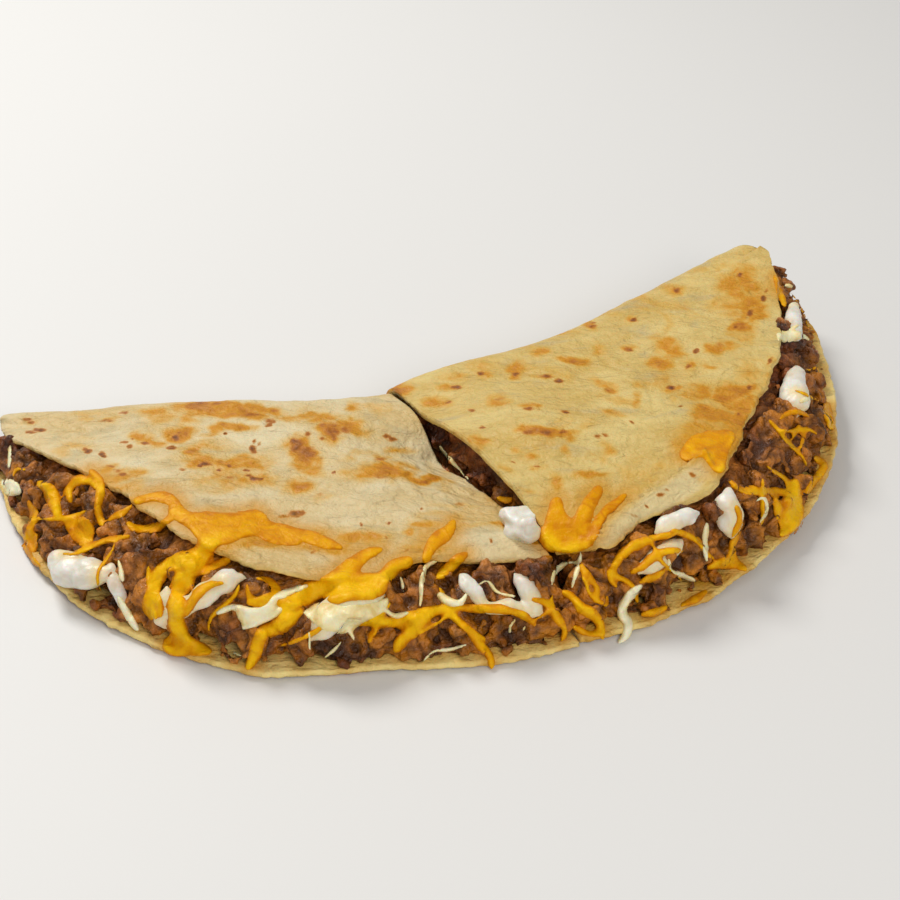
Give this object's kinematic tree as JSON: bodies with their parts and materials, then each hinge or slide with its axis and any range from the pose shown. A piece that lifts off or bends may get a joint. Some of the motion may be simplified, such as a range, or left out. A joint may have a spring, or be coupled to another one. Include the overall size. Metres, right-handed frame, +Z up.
{
  "type": "quesadilla",
  "caption": "Folded flour-tortilla quesadilla, cut across its fold into wedges and filled with ground beef, melted cheese and sour cream",
  "frame": {"origin": "middle of the plan, on the rest plane", "axes": "+X along the long rim side from the left wedge to the right one, +Z up, -Y toward the open filled side"},
  "size_m": [0.2466, 0.1931, 0.0274],
  "materials": {
    "tortilla_left": "matte",
    "tortilla_right": "matte",
    "filling": "satin",
    "cream": "gloss"
  },
  "bodies": {
    "root": {"tortilla_left": "tortilla_left", "tortilla_right": "tortilla_right", "filling_left": "filling", "filling_right": "filling", "cream_left_1": "cream", "cream_left_2": "cream", "cream_left_3": "cream", "cream_left_4": "cream", "cream_right_1": "cream", "cream_right_2": "cream", "cream_right_3": "cream", "cream_right_4": "cream", "cream_right_5": "cream", "cream_cut": "cream"}
  },
  "joints": []
}
